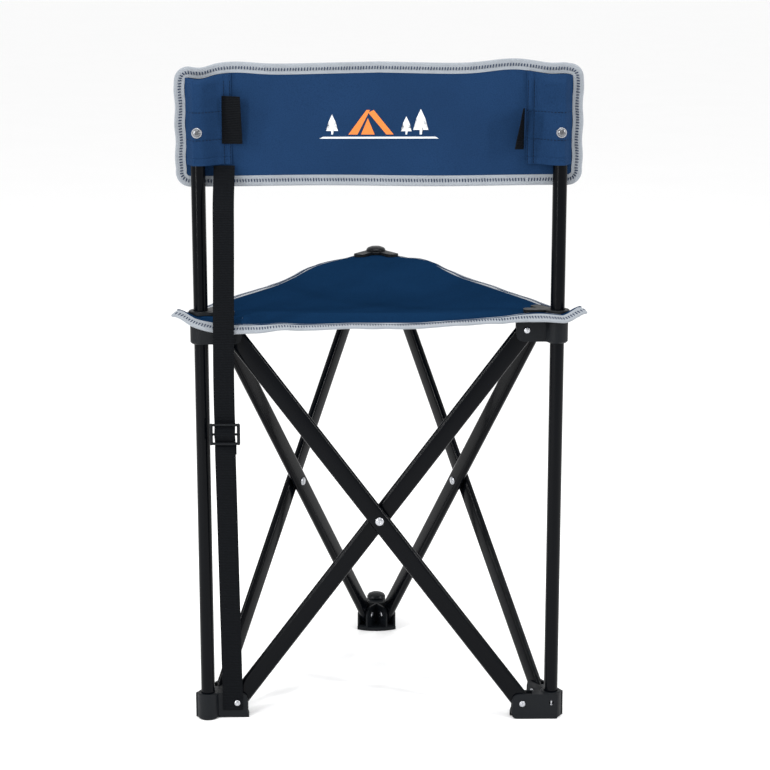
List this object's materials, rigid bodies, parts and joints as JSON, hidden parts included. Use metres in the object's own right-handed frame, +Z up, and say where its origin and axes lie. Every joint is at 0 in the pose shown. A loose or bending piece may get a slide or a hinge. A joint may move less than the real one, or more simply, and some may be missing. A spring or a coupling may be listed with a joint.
{
  "type": "folding camp stool",
  "caption": "Folding camp stool on a scissor frame with sliding hubs, a fabric seat, a fabric backrest on tall rear posts and a carry strap.",
  "frame": {"origin": "on the floor, under the middle of the stool's box", "axes": "+Z up, the sitter faces -Y, +X is the sitter's left"},
  "size_m": [0.4632, 0.4093, 0.757],
  "materials": {
    "powder_coated_steel": "semi-gloss black powder coat",
    "moulded_plastic": "black glass-filled nylon, fine spark texture",
    "zinc": "bright zinc plate",
    "navy_fabric": "navy coated polyester plain weave",
    "binding_tape": "light grey twill tape, navy overcast stitches",
    "webbing": "black ribbed polypropylene webbing"
  },
  "bodies": {
    "left_post": {"left_post": "powder_coated_steel", "left_post_cap": "moulded_plastic", "left_foot": "moulded_plastic", "left_post_rivet": "zinc", "left_foot_rivet_right": "zinc", "left_foot_rivet_front": "zinc", "backrest_panel": "navy_fabric", "backrest_binding": "binding_tape", "left_sleeve": "navy_fabric", "left_screw": "zinc", "left_washer": "zinc", "left_webbing_tab": "webbing", "carry_strap": "webbing", "strap_buckle": "moulded_plastic"},
    "rear_inner_bar": {"rear_inner_bar": "powder_coated_steel", "rear_centre_rivet": "zinc", "rear_centre_spacer": "moulded_plastic"},
    "rear_outer_bar": {"rear_outer_bar": "powder_coated_steel"},
    "right_hub": {"right_hub": "moulded_plastic", "right_clamp_plate": "moulded_plastic", "seat_panel_right": "navy_fabric", "right_hub_rivet_left": "zinc", "right_hub_rivet_front": "zinc"},
    "right_post": {"right_post": "powder_coated_steel", "right_webbing_tab": "webbing", "right_post_cap": "moulded_plastic", "right_foot": "moulded_plastic", "right_post_rivet": "zinc", "right_foot_rivet_left": "zinc", "right_foot_rivet_front": "zinc", "right_sleeve": "navy_fabric", "right_screw": "zinc", "right_washer": "zinc"},
    "left_hub": {"left_hub": "moulded_plastic", "left_clamp_plate": "moulded_plastic", "seat_panel_left": "navy_fabric", "left_hub_rivet_right": "zinc", "left_hub_rivet_front": "zinc"},
    "left_outer_bar": {"left_outer_bar": "powder_coated_steel", "left_centre_rivet": "zinc", "left_centre_spacer": "moulded_plastic"},
    "left_inner_bar": {"left_inner_bar": "powder_coated_steel"},
    "front_hub": {"front_hub": "moulded_plastic", "front_clamp_plate": "moulded_plastic", "front_hub_cap": "moulded_plastic", "seat_panel_front": "navy_fabric", "front_hub_rivet_left": "zinc", "front_hub_rivet_right": "zinc"},
    "front_foot": {"front_foot": "moulded_plastic", "front_foot_plug": "moulded_plastic", "front_foot_rivet_left": "zinc", "front_foot_rivet_right": "zinc"},
    "right_outer_bar": {"right_outer_bar": "powder_coated_steel", "right_centre_rivet": "zinc", "right_centre_spacer": "moulded_plastic"},
    "right_inner_bar": {"right_inner_bar": "powder_coated_steel"},
    "seat_rear_edge": {"seat_binding_rear": "binding_tape"},
    "seat_left_edge": {"seat_binding_left": "binding_tape"},
    "seat_right_edge": {"seat_binding_right": "binding_tape"}
  },
  "joints": [
    {"name": "fold", "type": "hinge", "parent": "left_post", "child": "rear_inner_bar", "pos_m": [0.166, 0.17266, 0.019], "axis": [0, 1, 0], "range_deg": [0, 33.5], "deforming": ["backrest_panel", "backrest_binding", "seat_panel_left", "seat_panel_right", "seat_panel_front", "seat_binding_rear", "seat_binding_left", "seat_binding_right"]},
    {"name": "rear_cross", "type": "hinge", "parent": "rear_inner_bar", "child": "rear_outer_bar", "pos_m": [0, 0.17796, 0.2395], "axis": [0, 1, 0], "range_deg": [-67, 0]},
    {"name": "right_hub_pivot", "type": "hinge", "parent": "rear_inner_bar", "child": "right_hub", "pos_m": [-0.166, 0.17266, 0.46], "axis": [0, 1, 0], "range_deg": [-33.5, 0]},
    {"name": "right_foot_pivot", "type": "hinge", "parent": "rear_outer_bar", "child": "right_post", "pos_m": [-0.166, 0.18326, 0.019], "axis": [0, 1, 0], "range_deg": [0, 33.5]},
    {"name": "left_hub_pivot", "type": "hinge", "parent": "rear_outer_bar", "child": "left_hub", "pos_m": [0.166, 0.18326, 0.46], "axis": [0, 1, 0], "range_deg": [0, 33.5]},
    {"name": "left_fold", "type": "hinge", "parent": "left_post", "child": "left_outer_bar", "pos_m": [0.18759, 0.14586, 0.019], "axis": [-0.866, 0.5, 0], "range_deg": [0, 33.5]},
    {"name": "left_cross", "type": "hinge", "parent": "left_outer_bar", "child": "left_inner_bar", "pos_m": [0.1, 0.00475, 0.2395], "axis": [-0.866, 0.5, 0], "range_deg": [-67, 0]},
    {"name": "front_hub_pivot", "type": "hinge", "parent": "left_outer_bar", "child": "front_hub", "pos_m": [0.02159, -0.14166, 0.46], "axis": [-0.866, 0.5, 0], "range_deg": [-33.5, 0]},
    {"name": "front_foot_pivot", "type": "hinge", "parent": "left_inner_bar", "child": "front_foot", "pos_m": [0.01241, -0.13636, 0.019], "axis": [-0.866, 0.5, 0], "range_deg": [0, 33.5]},
    {"name": "right_fold", "type": "hinge", "parent": "right_post", "child": "right_outer_bar", "pos_m": [-0.18759, 0.14586, 0.019], "axis": [-0.866, -0.5, 0], "range_deg": [0, 33.5]},
    {"name": "right_cross", "type": "hinge", "parent": "right_outer_bar", "child": "right_inner_bar", "pos_m": [-0.1, 0.00475, 0.2395], "axis": [-0.866, -0.5, 0], "range_deg": [-67, 0]},
    {"name": "seat_rear_drop", "type": "hinge", "parent": "left_hub", "child": "seat_rear_edge", "pos_m": [0.2, 0.16395, 0.4783], "axis": [1, 0, 0], "range_deg": [0, 80.4]},
    {"name": "seat_left_drop", "type": "hinge", "parent": "left_hub", "child": "seat_left_edge", "pos_m": [0.18788, 0.18496, 0.4783], "axis": [-0.5, -0.866, 0], "range_deg": [0, 80.4]},
    {"name": "seat_right_drop", "type": "hinge", "parent": "right_hub", "child": "seat_right_edge", "pos_m": [-0.18788, 0.18496, 0.4783], "axis": [-0.5, 0.866, 0], "range_deg": [0, 80.4]}
  ],
  "couplings": [
    {"joint": "rear_cross", "follows": "fold", "ratio": -2},
    {"joint": "right_hub_pivot", "follows": "fold", "ratio": -1},
    {"joint": "right_foot_pivot", "follows": "fold", "ratio": 1},
    {"joint": "left_hub_pivot", "follows": "fold", "ratio": 1},
    {"joint": "left_fold", "follows": "fold", "ratio": 1},
    {"joint": "left_cross", "follows": "fold", "ratio": -2},
    {"joint": "front_hub_pivot", "follows": "fold", "ratio": -1},
    {"joint": "front_foot_pivot", "follows": "fold", "ratio": 1},
    {"joint": "right_fold", "follows": "fold", "ratio": 1},
    {"joint": "right_cross", "follows": "fold", "ratio": -2},
    {"joint": "seat_rear_drop", "follows": "fold", "ratio": 2.4},
    {"joint": "seat_left_drop", "follows": "fold", "ratio": 2.4},
    {"joint": "seat_right_drop", "follows": "fold", "ratio": 2.4}
  ]
}
